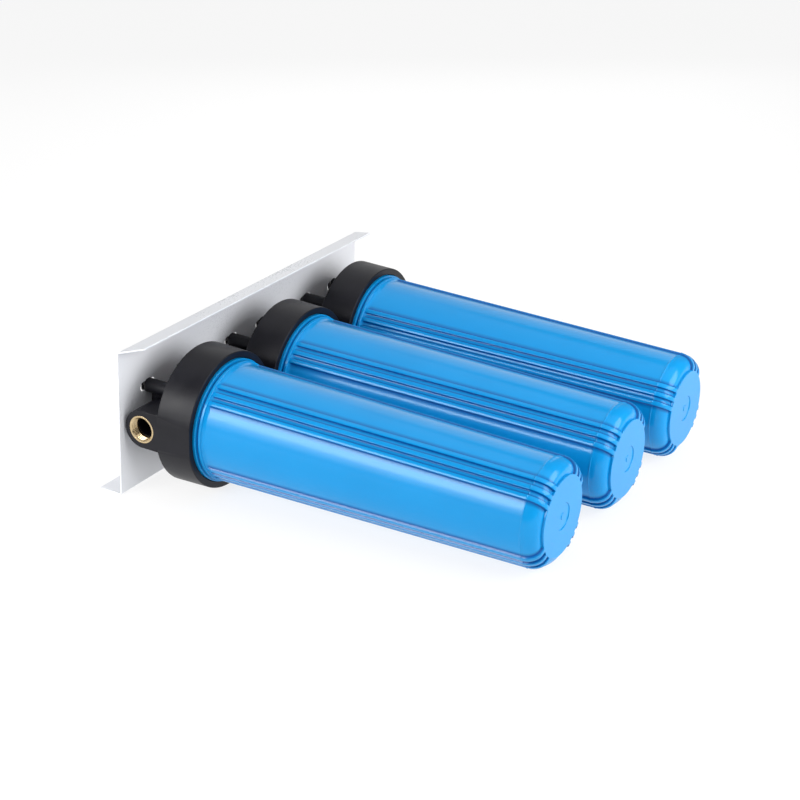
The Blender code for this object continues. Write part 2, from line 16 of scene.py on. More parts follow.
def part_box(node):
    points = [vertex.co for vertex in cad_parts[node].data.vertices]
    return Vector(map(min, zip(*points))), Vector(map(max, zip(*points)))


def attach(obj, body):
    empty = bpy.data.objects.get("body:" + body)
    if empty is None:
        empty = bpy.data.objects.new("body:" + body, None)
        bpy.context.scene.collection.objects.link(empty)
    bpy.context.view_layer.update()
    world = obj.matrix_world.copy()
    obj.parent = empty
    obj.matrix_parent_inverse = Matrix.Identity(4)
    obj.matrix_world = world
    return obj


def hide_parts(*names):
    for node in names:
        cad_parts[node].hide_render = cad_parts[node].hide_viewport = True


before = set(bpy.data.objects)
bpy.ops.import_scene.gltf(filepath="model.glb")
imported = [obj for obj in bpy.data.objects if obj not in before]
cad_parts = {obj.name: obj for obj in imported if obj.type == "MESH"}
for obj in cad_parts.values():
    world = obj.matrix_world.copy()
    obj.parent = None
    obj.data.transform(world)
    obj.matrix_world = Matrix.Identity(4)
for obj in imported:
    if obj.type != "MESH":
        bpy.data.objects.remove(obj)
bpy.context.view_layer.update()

MM = 0.001

# Places and sizes read from the frame


def middle(node):
    low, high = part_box(node)
    return (low + high) / 2


STAGES = (1, 2, 3)
FIT_GAP = 0.3 * MM
SHEET = 2.0 * MM
PLATE_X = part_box("filter_head_1")[0].x - FIT_GAP
STAGE_Y = {stage: middle(f"sump_o_ring_{stage}").y for stage in STAGES}
AXIS_Z = middle("sump_o_ring_1").z
CAP_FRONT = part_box("filter_head_1")[1].x - PLATE_X
SUMP_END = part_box("sump_1")[1].x - PLATE_X
MEDIA_RADIUS = STAGE_Y[1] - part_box("cartridge_media_1")[0].y

# Roundings

FINE = 0.3 * MM
SMALL = 0.6 * MM
SOFT = 1.2 * MM

# Points round a turned shape, and angles in degrees above which an edge is shaded sharp

HOLE_POINTS = 32
WELL_POINTS = 48
BORE_POINTS = 64
TURNED_POINTS = 96
THREADED_POINTS = 120
CAP_POINTS = 144
SEAL_POINTS = 180
STEM_SEAL_POINTS = 40
WIRE_POINTS = 20
SHARP = 34
SHARP_HEAD = 30
SHARP_SCREW = 28
SHARP_SHEET = 12
SHEET_EDGE = 60
JOIN_DISTANCE = 0.002 * MM

# Threads between sump and head

THREAD_START = 80.5 * MM
THREAD_END = 94.0 * MM
THREAD_PITCH = 6.0 * MM
THREAD_DEPTH = 2.4 * MM
THREAD_FLATS = (0.12, 0.80)
MALE_ROOT = 77.8 * MM
FEMALE_CREST = 81.0 * MM

# Sump

SUMP_TURN = {1: 132.0, 2: 136.8, 3: 147.1}
MOUTH = 66.0 * MM
BORE_TOP = 68.3 * MM
BORE_LOW = 62.9 * MM
NECK_RADIUS = 76.7 * MM
GROOVE_START = 69.0 * MM
GROOVE_END = 74.0 * MM
GROOVE_RADIUS = 72.0 * MM
SHOULDER = 99.3 * MM
COLLAR_RADIUS = 82.35 * MM
COLLAR_END = 107.3 * MM
STEP_START = 110.6 * MM
STEP_RADIUS = 80.3 * MM
STEP_END = 114.4 * MM
STEP_GROOVE_RADIUS = 78.9 * MM
STEP_EDGE_RADIUS = 78.4 * MM
PANEL_START = 119.0 * MM
PANEL_TOP = 76.3 * MM
PANEL_LOW = 68.2 * MM
DOME_START = 562.0 * MM
DOME_DEPTH = 19.3 * MM
SEAM_HEIGHT = 0.5 * MM
SEAM_FLANK = (0.3 * MM, 0.9 * MM)
DISC_RADIUS = 52.0 * MM
DISC_BEVEL = 0.7 * MM
MARK_RADIUS = 17.0 * MM
MARK_DEPTH = 1.0 * MM
GATE_RADIUS = 4.5 * MM
GATE_HEIGHT = 0.8 * MM
RIB_HEIGHT = 3.0 * MM
RIB_SPACING = 12.7 * MM
RIB_HALF_WIDTH = 3.3 * MM
RIB_FLANK = 0.7 * MM
SMOOTH_COLUMNS = 14
FLOOR_HEIGHT = 576.0 * MM
FLOOR_RADIUS = 57.7 * MM
BOSS_TOP = 563.5 * MM

# Filter head

CAP_BACK = 53.5 * MM
CEILING = 61.5 * MM
CAP_RADIUS = 92.0 * MM
CAP_DRAFT = 1.2 * MM
RIM_RADIUS = 83.2 * MM
RIM_STEP = 99.0 * MM
SEAL_BORE = 77.5 * MM
SEAL_BORE_END = 77.0 * MM
SPIGOT_RADIUS = 13.5 * MM
SPIGOT_BORE = 9.5 * MM
SPIGOT_TOP = 77.0 * MM
SEAT_RADIUS = 23.5 * MM
SEAT_HEIGHT = 3.0 * MM
PORT_AXIS = 28.5 * MM
PORT_RADIUS = 26.0 * MM
PORT_HALF = 89.5 * MM
PORT_EDGE = 1.0 * MM
FLAT_STEP = 0.4 * MM
INSERT_RADIUS = 18.8 * MM
INSERT_BORE = 15.2 * MM
INSERT_LENGTH = 13.8 * MM
INSERT_CHAMFER = 1.3 * MM
PIPE_PITCH = 2.3 * MM
PIPE_DEPTH = 0.4 * PIPE_PITCH
INNER_BORE = 14.5 * MM
INLET_END = 25.0 * MM
OUTLET_END = -7.0 * MM
PASSAGE_RADIUS = 8.0 * MM
PASSAGE_PLACE = 40.0 * MM
POST_RADIUS = 9.5 * MM
POST_OFFSET = 37.5 * MM
POST_SIDES = {"a": (-1, -1), "b": (-1, 1), "c": (1, -1), "d": (1, 1)}
WEB_HALF = 2.0 * MM
WEB_START = 7.5 * MM
HOLE_RADIUS = 3.7 * MM
HOLE_DEPTH = 22.3 * MM
RELIEF_OFFSET = 46.0 * MM
RELIEF_TOP = 41.5 * MM
RELIEF_RADIUS = 8.5 * MM
WELL_RADIUS = 6.0 * MM
WELL_DEPTH = 8.0 * MM
STEM_HOLE = 2.5 * MM
OVER = 1.0 * MM

# Bracket

BEND = 3.0 * MM
LIP_SLOPE = math.radians(15)
LIP_REACH = 33.2 * MM
LIP_CUT = 12.2 * MM
POST_SLOT = (31.0 * MM, 13.0 * MM)
WALL_SLOT = (20.0 * MM, 9.0 * MM)
WALL_SLOT_INSET = 46.0 * MM
EDGE_ROUND = 0.35 * MM

# Screws and nipples

WASHER_RADIUS = 11.0 * MM
WASHER = 1.8 * MM
HEX_WIDTH = 13.0 * MM
HEX_DISH = 0.28 * HEX_WIDTH
HEX_DISH_EDGE = 0.32 * HEX_WIDTH
HEX_TOP = 0.46 * HEX_WIDTH
HEX_FOOT = 0.6 * HEX_WIDTH
HEX_SLOPE = 1.7
HEX_HEIGHT = 5.3 * MM
SCREW_RADIUS = 3.4 * MM
SCREW_LENGTH = 24.0 * MM
SCREW_PITCH = 1.25 * MM
NIPPLE_HEX = 36.0 * MM
NIPPLE_CORNER = 0.56 * NIPPLE_HEX
NIPPLE_BORE = 12.5 * MM

# Cartridge and relief valve

CORE_BORE = 14.4 * MM
CORE_RADIUS = 17.2 * MM
END_HOLE = 14.5 * MM
FIBRE_DEPTH = 0.35 * MM
FIBRE_PITCH = 9.0 * MM
FIBRE_TURNS = 3
BUTTON_RADIUS = 5.5 * MM
BUTTON_HEIGHT = 4.0 * MM
STEM_RADIUS = 2.2 * MM
FOOT_RADIUS = 4.5 * MM
FOOT_HEIGHT = 1.6 * MM


# Grids


def smooth_step(low, high, value):
    """0 below low and 1 above high, with 3t^2 - 2t^3 between them, where t is the share of the way."""
    share = np.clip((value - low) / (high - low), 0.0, 1.0)
    return share * share * (3.0 - 2.0 * share)


def rounded(*corners, steps=4):
    """A chain of (height, radius, rounding) corners as points. A rounded corner is an arc that touches both of
    its sides, with one point more beside each end, which keeps the shading of the flat faces flat."""
    points = [np.array(corners[0][:2])]
    for before, here, after in zip(corners, corners[1:], corners[2:]):
        corner, rounding = np.array(here[:2]), here[2]
        if rounding == 0:
            points.append(corner)
            continue
        back = (np.array(before[:2]) - corner) / math.dist(before[:2], here[:2])
        ahead = (np.array(after[:2]) - corner) / math.dist(after[:2], here[:2])
        half = math.acos(back @ ahead) / 2
        reach = rounding / math.tan(half)
        centre = corner + (back + ahead) / np.linalg.norm(back + ahead) * rounding / math.sin(half)
        sweep = math.pi - 2 * half
        share = np.linspace(0.0, 1.0, steps + 1)[:, None]
        first = corner + back * reach - centre
        last = corner + ahead * reach - centre
        points.append(corner + back * (reach + rounding / 4))
        arc = np.sin((1 - share) * sweep) * first + np.sin(share * sweep) * last
        points.extend(centre + arc / math.sin(sweep))
        points.append(corner + ahead * (reach + rounding / 4))
    points.append(np.array(corners[-1][:2]))
    return np.array(points)


def turn_angles(count):
    return np.linspace(0.0, 360.0, count, endpoint=False)


def around(height, radius, angles):
    """Points (height, radius cos angle, radius sin angle) for each row and each angle."""
    height, radius, turn = np.broadcast_arrays(height, radius, np.radians(angles))
    return np.stack((height, radius * np.cos(turn), radius * np.sin(turn)), axis=-1)


def carried(rows, angles):
    """Rows of (height, radius) carried once round their axis, through the given angles."""
    height, radius = np.array(rows).T[..., None]
    return around(height, radius, angles)


def lathe(rows, count=TURNED_POINTS):
    return carried(rows, turn_angles(count))


def ring_of(low, high, inner, outer, edge, count=TURNED_POINTS):
    """A ring of rectangular section with rounded edges. Its rows go round the section."""
    mean = (inner + outer) / 2
    corners = ((low, mean, 0), (low, outer, edge), (high, outer, edge), (high, inner, edge), (low, inner, edge))
    return lathe(rounded(*corners, (low, mean, 0))[:-1], count)


def hexagon(angles, width, corner):
    """Radius of a hexagon of a width across its flats, with its corners cut to a circle."""
    local = np.radians((angles + 30.0) % 60.0 - 30.0)
    return np.minimum(width / 2 / np.cos(local), corner)


def laid(grid, origin, along=(1, 0, 0), aside=(0, 1, 0)):
    """A grid whose length runs along X, moved so that it starts at a point and runs along another direction."""
    axes = np.array((along, aside, np.cross(along, aside)), float)
    return grid @ axes + np.array(origin)


def in_housing(grid, stage, rise=0.0):
    """A grid moved from the origin to a housing's axis, or to a parallel axis above it."""
    return laid(grid, (PLATE_X, STAGE_Y[stage], AXIS_Z + rise))


def quads_of(rows, columns, ring):
    """Corner numbers of a grid's faces, closed round its columns and, for a ring, round its rows too."""
    row = np.arange(rows if ring else rows - 1)[:, None]
    column = np.arange(columns)[None, :]
    below, beside = (row + 1) % rows, (column + 1) % columns
    row, below = row * columns, below * columns
    return np.stack((row + column, row + beside, below + beside, below + column), axis=-1).reshape(-1, 4)


# Meshes and pieces


def mesh_of(*grids, ring=False, sharp=SHARP, painted_groove_shade=None):
    """One mesh of one or more closed grids. A value of painted shade for each point becomes an attribute of the
    mesh.
    """
    faces = []
    start = 0
    for grid in grids:
        rows, columns = grid.shape[:2]
        faces.append(quads_of(rows, columns, ring) + start)
        start += rows * columns
    points = np.concatenate([grid.reshape(-1, 3) for grid in grids])
    mesh = bpy.data.meshes.new("mesh")
    mesh.from_pydata(points.tolist(), [], np.concatenate(faces).tolist())
    if painted_groove_shade is not None:
        mesh.attributes.new("painted_groove_shade", "FLOAT", "POINT").data.foreach_set("value", painted_groove_shade.ravel())
    return cleaned(mesh, sharp)


def cleaned(mesh, sharp=SHARP):
    """Join points that meet, so that poles close, turn all faces outward and shade them smooth up to an
    angle."""
    work = bmesh.new()
    work.from_mesh(mesh)
    bmesh.ops.remove_doubles(work, verts=work.verts, dist=JOIN_DISTANCE)
    bmesh.ops.recalc_face_normals(work, faces=work.faces)
    work.to_mesh(mesh)
    work.free()
    mesh.shade_smooth()
    mesh.set_sharp_from_angle(angle=math.radians(sharp))
    return mesh


def changed(mesh, kind, **settings):
    """The mesh that one modifier makes of another mesh."""
    item = bpy.data.objects.new("work", mesh)
    bpy.context.scene.collection.objects.link(item)
    modifier = item.modifiers.new("change", kind)
    for setting, value in settings.items():
        setattr(modifier, setting, value)
    bpy.context.view_layer.update()
    result = bpy.data.meshes.new_from_object(item.evaluated_get(bpy.context.evaluated_depsgraph_get()))
    bpy.data.objects.remove(item)
    return result


def combined(mesh, operation, *grids):
    """A mesh joined to, or cut by, closed grids, which may cross each other."""
    tool = bpy.data.objects.new("tool", mesh_of(*grids))
    bpy.context.scene.collection.objects.link(tool)
    result = changed(mesh, "BOOLEAN", operation=operation, solver="EXACT", object=tool, use_self=True)
    bpy.data.objects.remove(tool)
    return result


def piece(name, mesh, finish, body, node):
    """Show a mesh as a named piece that rides on a body in place of a CAD node."""
    item = bpy.data.objects.new(name, mesh)
    bpy.context.scene.collection.objects.link(item)
    item.data.materials.append(finish)
    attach(item, body)
    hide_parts(node)


# Materials


class Socket:
    """One value in a finish. Arithmetic on it adds Math nodes."""

    def __init__(self, finish, output):
        self.finish = finish
        self.output = output

    def math(self, operation, *values):
        return self.finish.node("ShaderNodeMath", dict(enumerate(values)), operation=operation)

    def __add__(self, other):
        return self.math("ADD", self, other)

    def __radd__(self, other):
        return self.math("ADD", other, self)

    def __sub__(self, other):
        return self.math("SUBTRACT", self, other)

    def __rsub__(self, other):
        return self.math("SUBTRACT", other, self)

    def __mul__(self, other):
        return self.math("MULTIPLY", self, other)

    def __rmul__(self, other):
        return self.math("MULTIPLY", other, self)


class Finish:
    """A surface finish: a Principled shader, its constants, and the nodes that vary it."""

    def __init__(self, name, **constants):
        self.material = bpy.data.materials.new(name)
        self.material.use_nodes = True
        self.tree = self.material.node_tree
        self.shader = self.tree.nodes["Principled BSDF"]
        for socket, value in constants.items():
            self.shader.inputs[socket.replace("_", " ")].default_value = value
        self.place = self.node("ShaderNodeTexCoord", {}, "Object")

    def node(self, kind, inputs, out=0, **settings):
        """Add a node, first with its own settings and then with its inputs, each a value or another Socket."""
        node = self.tree.nodes.new(kind)
        for setting, value in settings.items():
            setattr(node, setting, value)
        for socket, value in inputs.items():
            self.connect(node.inputs[socket], value)
        return Socket(self, node.outputs[out])

    def connect(self, target, value):
        if isinstance(value, Socket):
            self.tree.links.new(value.output, target)
        else:
            target.default_value = value

    def noise(self, scale, detail=3.0, stretch=(1.0, 1.0, 1.0)):
        """Noise of so many features in a metre, which an axis's stretch below 1 draws out along that axis."""
        place = self.node("ShaderNodeMapping", {"Vector": self.place, "Scale": stretch})
        return self.node("ShaderNodeTexNoise", {"Vector": place, "Scale": scale, "Detail": detail})

    def spread(self, value, low, high):
        """The middle of a noise's range spread from low to high."""
        inputs = {"Value": value, "From Min": 0.32, "From Max": 0.68, "To Min": low, "To Max": high}
        return self.node("ShaderNodeMapRange", inputs)

    def mix(self, factor, first, second):
        """One colour mixed towards another."""
        colours = [value if isinstance(value, Socket) else (*value, 1.0) for value in (first, second)]
        inputs = {"Factor": factor, 6: colours[0], 7: colours[1]}
        return self.node("ShaderNodeMix", inputs, 2, data_type="RGBA")

    def colour(self, value, first, second):
        """Base colour between two colours, as the value goes over its middle range."""
        mixed = self.mix(self.spread(value, 0.0, 1.0), first, second)
        self.connect(self.shader.inputs["Base Color"], mixed)
        return mixed

    def roughness(self, value, low, high):
        self.connect(self.shader.inputs["Roughness"], self.spread(value, low, high))

    def bump(self, height, strength, distance):
        inputs = {"Height": height, "Strength": strength, "Distance": distance}
        self.connect(self.shader.inputs["Normal"], self.node("ShaderNodeBump", inputs))


def blue_polypropylene():
    """Glossy blue plastic with slow drifts of colour, flow lines from moulding and a slight orange peel. Its
    colour is painted darker at the ribs' feet and between the collar and the step, as painted shade."""
    finish = Finish("blue_polypropylene", IOR=1.41, Specular_Tint=(0.80, 0.92, 1.0, 1.0))
    drift = finish.noise(9.0)
    flow = finish.noise(30.0, 3.0, (0.12, 1.0, 1.0))
    peel = finish.noise(260.0, 2.0)
    painted_groove_shade = finish.node("ShaderNodeAttribute", {}, "Fac", attribute_name="painted_groove_shade")
    plain = finish.colour(drift * 0.7 + flow * 0.3, (0.002, 0.252, 0.600), (0.003, 0.278, 0.655))
    # painted shade: the base colour is mixed towards a deep blue at the ribs' feet and between the collar and
    # the step
    finish.connect(finish.shader.inputs["Base Color"], finish.mix(painted_groove_shade, plain, (0.001, 0.070, 0.29)))
    finish.roughness(flow * 0.6 + drift * 0.4, 0.16, 0.22)
    finish.bump(peel * 0.7 + flow * 0.3, 0.10, 0.5 * MM)
    return finish.material


def black_polypropylene():
    """Satin black plastic with a fine grain and paler, rubbed patches."""
    finish = Finish("black_polypropylene", IOR=1.33)
    grain = finish.noise(1400.0)
    rub = finish.noise(26.0, 4.0)
    finish.colour(rub, (0.004, 0.004, 0.007), (0.008, 0.008, 0.012))
    finish.roughness(rub, 0.36, 0.46)
    finish.bump(grain, 0.22, 0.12 * MM)
    return finish.material


def white_powder_coat():
    """Semi-gloss white powder coat with its fine orange peel."""
    finish = Finish("white_powder_coat")
    peel = finish.noise(420.0, 2.0)
    cloud = finish.noise(7.0, 2.0)
    finish.colour(cloud, (0.775, 0.79, 0.83), (0.805, 0.82, 0.86))
    finish.roughness(peel * 0.5 + cloud * 0.5, 0.26, 0.34)
    finish.bump(peel, 0.16, 0.2 * MM)
    return finish.material


def machined_brass():
    """Turned brass with fine rings from the tool and slightly duller spots."""
    finish = Finish("machined_brass", Metallic=1.0)
    spots = finish.noise(160.0, 4.0)
    marks = finish.noise(900.0, 2.0, (0.4, 2.4, 0.4))
    finish.colour(spots, (0.52, 0.40, 0.23), (0.66, 0.52, 0.32))
    finish.roughness(spots * 0.5 + marks * 0.5, 0.20, 0.36)
    finish.bump(marks, 0.2, 0.1 * MM)
    return finish.material


def zinc_plate():
    """Bright zinc plate with faint cool and warm clouds and light scuffs."""
    finish = Finish("zinc_plate", Metallic=1.0)
    cloud = finish.noise(120.0)
    scuff = finish.noise(800.0)
    finish.colour(cloud, (0.60, 0.61, 0.63), (0.68, 0.67, 0.64))
    finish.roughness(scuff, 0.22, 0.38)
    finish.bump(scuff, 0.15, 0.08 * MM)
    return finish.material


def black_rubber():
    """Matt sealing rubber with a light bloom."""
    finish = Finish("black_rubber", IOR=1.45)
    bloom = finish.noise(90.0, 4.0)
    finish.colour(bloom, (0.012, 0.012, 0.012), (0.028, 0.028, 0.029))
    finish.roughness(bloom, 0.55, 0.75)
    finish.bump(bloom, 0.1, 0.2 * MM)
    return finish.material


def blown_fibre():
    """Melt-blown filter medium of off-white fibres that lie nearly round the cartridge."""
    finish = Finish("blown_fibre")
    fibres = finish.noise(500.0, 5.0, (1.0, 0.3, 0.3))
    finish.colour(fibres, (0.66, 0.65, 0.60), (0.82, 0.81, 0.77))
    finish.roughness(fibres, 0.8, 0.95)
    finish.bump(fibres, 0.6, 0.6 * MM)
    return finish.material


def white_plastic():
    """Plain moulded white plastic of the cartridges' end caps and cores."""
    finish = Finish("white_plastic")
    cloud = finish.noise(40.0)
    grain = finish.noise(700.0)
    finish.colour(cloud, (0.66, 0.66, 0.64), (0.74, 0.74, 0.72))
    finish.roughness(cloud, 0.38, 0.50)
    finish.bump(grain, 0.12, 0.1 * MM)
    return finish.material


def red_plastic():
    """Glossy red plastic of the relief buttons."""
    finish = Finish("red_plastic")
    cloud = finish.noise(200.0)
    finish.colour(cloud, (0.50, 0.018, 0.015), (0.60, 0.030, 0.022))
    finish.roughness(cloud, 0.28, 0.38)
    finish.bump(cloud, 0.08, 0.1 * MM)
    return finish.material


def pale_floor():
    """Matt pale paper, lit from behind as on a light table, with hardly visible clouds."""
    finish = Finish("pale_floor", Emission_Color=(1.0, 1.0, 1.0, 1.0), Emission_Strength=0.82)
    cloud = finish.noise(0.8, 2.0)
    finish.colour(cloud, (0.17, 0.17, 0.17), (0.19, 0.19, 0.19))
    finish.roughness(cloud, 0.75, 0.85)
    return finish.material


# Sump


def rib_places():
    """Distances of a rib group's columns from the group's middle plane, close together on the ribs' flanks."""
    flank = RIB_HALF_WIDTH + RIB_FLANK * np.linspace(-1.15, 1.15, 7)
    rib = np.concatenate((-flank, [0.0], flank))
    valleys = np.array((-0.5, 0.5)) * RIB_SPACING
    return np.sort(np.concatenate((rib - RIB_SPACING, rib, rib + RIB_SPACING, valleys)))


def rib_share(places):
    """1 on a rib's crest and 0 beside it: a smooth step over the distance from the nearest rib's middle."""
    nearest = np.clip(np.round(places / RIB_SPACING), -1, 1) * RIB_SPACING
    return 1.0 - smooth_step(RIB_HALF_WIDTH - RIB_FLANK, RIB_HALF_WIDTH + RIB_FLANK, np.abs(places - nearest))


def painted_groove_shade_share(places, heights):
    """Share of painted shade: 1 at the feet of the ribs' flanks and between the collar and the step, 0 on plain
    walls, fading smoothly.
    """
    nearest = np.clip(np.round(places / RIB_SPACING), -1, 1) * RIB_SPACING
    foot = np.abs(np.abs(places - nearest) - RIB_HALF_WIDTH - RIB_FLANK / 2)
    beside_rib = (1.0 - smooth_step(0.0, 2 * RIB_FLANK, foot)) * smooth_step(STEP_END, PANEL_START, heights)
    in_collar = smooth_step(COLLAR_END, COLLAR_END + SOFT, heights) * (heights < STEP_START)
    return np.maximum(beside_rib, in_collar)


def thread_wave(height, angles, pitch, start, end):
    """Height of a right-hand thread, 0 at its root and 1 at its crest: a triangle wave of height / pitch less
    angle / 360, flattened at both, and faded in and out over half a pitch at its ends."""
    phase = (height / pitch - angles / 360.0) % 1.0
    wave = smooth_step(*THREAD_FLATS, 1.0 - np.abs(phase * 2.0 - 1.0))
    fade_in = smooth_step(start, start + pitch / 2, height)
    return wave * fade_in * (1.0 - smooth_step(end - pitch / 2, end, height))


def thread_rows(radius):
    """Rows for a coarse thread, all at its root radius."""
    heights = np.linspace(THREAD_START, THREAD_END, 40)
    return np.stack((heights, np.full_like(heights, radius)), axis=-1)


def dome_rows(start_radius, end_height):
    """Quarter ellipse from the end of the wall to just outside the disc, past the parting line."""
    turn = np.linspace(0.0, math.pi / 2, 20)[2:]
    end_radius = DISC_RADIUS + FINE
    radius = end_radius + (start_radius - end_radius) * np.cos(turn)
    return np.stack((DOME_START + (end_height - DOME_START) * np.sin(turn), radius), axis=-1)


def wall_rows(rise):
    """The tapered wall at a height above the panels, with the parting line of the mould as a low ridge."""
    seam = DOME_START + np.linspace(-1.0, 1.0, 9) * MM
    heights = np.concatenate((np.linspace(PANEL_START, DOME_START - 4 * MM, 9)[1:], seam))
    radius = np.interp(heights, (PANEL_START, DOME_START), (PANEL_TOP, PANEL_LOW)) + rise
    ridge = SEAM_HEIGHT * (1.0 - smooth_step(*SEAM_FLANK, np.abs(heights - DOME_START)))
    return np.stack((heights, radius + ridge), axis=-1)


def sump_profiles():
    """The sump's profile through a smooth panel and its profile over a rib, row for row, and the row on which
    the thread starts."""
    inside = rounded(
        (BOSS_TOP, 0.0, 0),
        (BOSS_TOP, SPIGOT_RADIUS, SOFT),
        (FLOOR_HEIGHT - SEAT_HEIGHT, SPIGOT_RADIUS, FINE),
        (FLOOR_HEIGHT - SEAT_HEIGHT, SEAT_RADIUS, SMALL),
        (FLOOR_HEIGHT, SEAT_RADIUS, SMALL),
        (FLOOR_HEIGHT, FLOOR_RADIUS, SOFT),
        (DOME_START, BORE_LOW, 4 * SOFT),
        (MOUTH, BORE_TOP, SOFT),
        (MOUTH, NECK_RADIUS, SMALL),
        (GROOVE_START, NECK_RADIUS, FINE),
        (GROOVE_START, GROOVE_RADIUS, FINE),
        (GROOVE_END, GROOVE_RADIUS, FINE),
        (GROOVE_END, NECK_RADIUS, FINE),
        (THREAD_START - SOFT, NECK_RADIUS, FINE),
        (THREAD_START - FINE, MALE_ROOT, 0),
    )
    collar = rounded(
        (THREAD_END, MALE_ROOT, 0),
        (SHOULDER, MALE_ROOT, SMALL),
        (SHOULDER, COLLAR_RADIUS, SMALL),
        (COLLAR_END, COLLAR_RADIUS, SMALL),
        (COLLAR_END + SMALL, STEP_GROOVE_RADIUS, FINE),
        (STEP_START - SMALL, STEP_GROOVE_RADIUS, FINE),
        (STEP_START, STEP_RADIUS, FINE),
        (STEP_END - SMALL, STEP_RADIUS, SMALL),
        (STEP_END, STEP_EDGE_RADIUS, 0),
    )
    turn = np.linspace(0.0, math.pi / 2, 9)[1:]
    fillet = STEP_END + (PANEL_START - STEP_END) * np.sin(turn)
    panel_foot = PANEL_TOP + (STEP_EDGE_RADIUS - PANEL_TOP) * (1 - np.sin(turn)) ** 1.5
    rib_foot = STEP_EDGE_RADIUS + (PANEL_TOP + RIB_HEIGHT - STEP_EDGE_RADIUS) * np.sin(turn)
    disc_edge = rounded(
        (DOME_START + DOME_DEPTH, DISC_RADIUS + FINE, 0),
        (DOME_START + DOME_DEPTH, DISC_RADIUS, FINE / 2),
        (SUMP_END, DISC_RADIUS, DISC_BEVEL),
        (SUMP_END, DISC_RADIUS - 2 * DISC_BEVEL, 0),
    )[1:]
    centre = rounded(
        (SUMP_END, DISC_RADIUS - 2 * DISC_BEVEL, 0),
        (SUMP_END, MARK_RADIUS + FINE, FINE / 2),
        (SUMP_END - MARK_DEPTH, MARK_RADIUS - FINE, FINE / 2),
        (SUMP_END - MARK_DEPTH, GATE_RADIUS, FINE / 2),
        (SUMP_END - MARK_DEPTH + GATE_HEIGHT, GATE_RADIUS - SMALL, FINE),
        (SUMP_END - MARK_DEPTH + GATE_HEIGHT, 0.0, 0),
    )[1:]
    rib_edge = np.stack((np.full(len(disc_edge), SUMP_END), disc_edge[:, 1]), axis=-1)
    shared = (inside, thread_rows(MALE_ROOT), collar[1:])
    panel_outside = (wall_rows(0.0), dome_rows(PANEL_LOW, DOME_START + DOME_DEPTH), disc_edge, centre)
    rib_outside = (wall_rows(RIB_HEIGHT), dome_rows(PANEL_LOW + RIB_HEIGHT, SUMP_END), rib_edge, centre)
    panel = np.concatenate((*shared, np.stack((fillet, panel_foot), axis=-1), *panel_outside))
    rib = np.concatenate((*shared, np.stack((fillet, rib_foot), axis=-1), *rib_outside))
    return panel, rib, len(inside)


def sump_grid(stage):
    """Each row goes from its panel point towards its rib point by the rib share of each column. The columns
    of a rib group keep their distances from its middle plane, so that the ribs stay parallel on the dome. The
    other columns share out the rest of a quarter turn. The rows between neck and collar carry the thread's
    wave. The second result is each point's share of painted shade, at the ribs' feet and the collar."""
    places = rib_places()
    panel, rib, thread_row = sump_profiles()
    share = np.concatenate((rib_share(places), np.zeros(SMOOTH_COLUMNS)))
    height = np.tile(panel[:, :1] + (rib[:, :1] - panel[:, :1]) * share, 4)
    radius = np.tile(panel[:, 1:] + (rib[:, 1:] - panel[:, 1:]) * share, 4)
    group = np.degrees(np.arcsin(places / np.maximum(radius[:, : len(places)], DISC_RADIUS)))
    edge = group[:, -1:]
    smooth = edge + (90.0 - 2 * edge) * np.linspace(0.0, 1.0, SMOOTH_COLUMNS + 2)[1:-1]
    quarter = np.concatenate((group, smooth), axis=1)
    angles = np.concatenate([quarter + 90.0 * turn for turn in range(4)], axis=1) + SUMP_TURN[stage]
    outside = np.arange(len(panel))[:, None] >= thread_row
    wave = thread_wave(height, angles, THREAD_PITCH, THREAD_START, THREAD_END)
    distances = np.concatenate((places, np.full(SMOOTH_COLUMNS, 2 * RIB_SPACING)))
    off_disc = radius[:, : len(distances)] > DISC_RADIUS + FINE / 2
    # painted shade: share of darker colour at the ribs' feet and between the collar and the step, kept off the
    # disc
    painted_groove_shade = painted_groove_shade_share(distances, panel[:, :1]) * outside * off_disc
    return around(height, radius + THREAD_DEPTH * wave * outside, angles), np.tile(painted_groove_shade, 4)


def make_sumps(finish):
    for stage in STAGES:
        grid, painted_groove_shade = sump_grid(stage)
        mesh = mesh_of(in_housing(grid, stage), painted_groove_shade=painted_groove_shade)
        piece(f"blue_sump_{stage}", mesh, finish, f"sump_body_{stage}", f"sump_{stage}")


# Filter head


def head_cap():
    """The cap as one turned shape: its back, the skirt and rim, and inside them the thread, the bore for the
    seal, the ceiling and the spigot."""
    outside = rounded(
        (CAP_BACK, 0.0, 0),
        (CAP_BACK, CAP_RADIUS + CAP_DRAFT, SOFT),
        (CAP_FRONT, CAP_RADIUS, SOFT),
        (CAP_FRONT, RIM_RADIUS, SMALL),
        (RIM_STEP, RIM_RADIUS, FINE),
        (RIM_STEP, FEMALE_CREST, FINE),
        (THREAD_END + FINE, FEMALE_CREST, 0),
    )
    inside = rounded(
        (THREAD_START - FINE, FEMALE_CREST, 0),
        (SEAL_BORE_END, SEAL_BORE, FINE),
        (CEILING, SEAL_BORE, SOFT),
        (CEILING, SEAT_RADIUS, SMALL),
        (CEILING + SEAT_HEIGHT, SEAT_RADIUS, FINE),
        (CEILING + SEAT_HEIGHT, SPIGOT_RADIUS, SMALL),
        (SPIGOT_TOP, SPIGOT_RADIUS, SOFT),
        (SPIGOT_TOP, 0.0, 0),
    )
    thread = thread_rows(FEMALE_CREST)[::-1]
    profile = np.concatenate((outside, thread, inside))
    row = np.arange(len(profile))[:, None]
    threaded = (row >= len(outside)) & (row < len(outside) + len(thread))
    angles = turn_angles(CAP_POINTS)
    wave = thread_wave(profile[:, :1], angles, THREAD_PITCH, THREAD_START, THREAD_END)
    return around(profile[:, :1], profile[:, 1:] + THREAD_DEPTH * wave * threaded, angles)


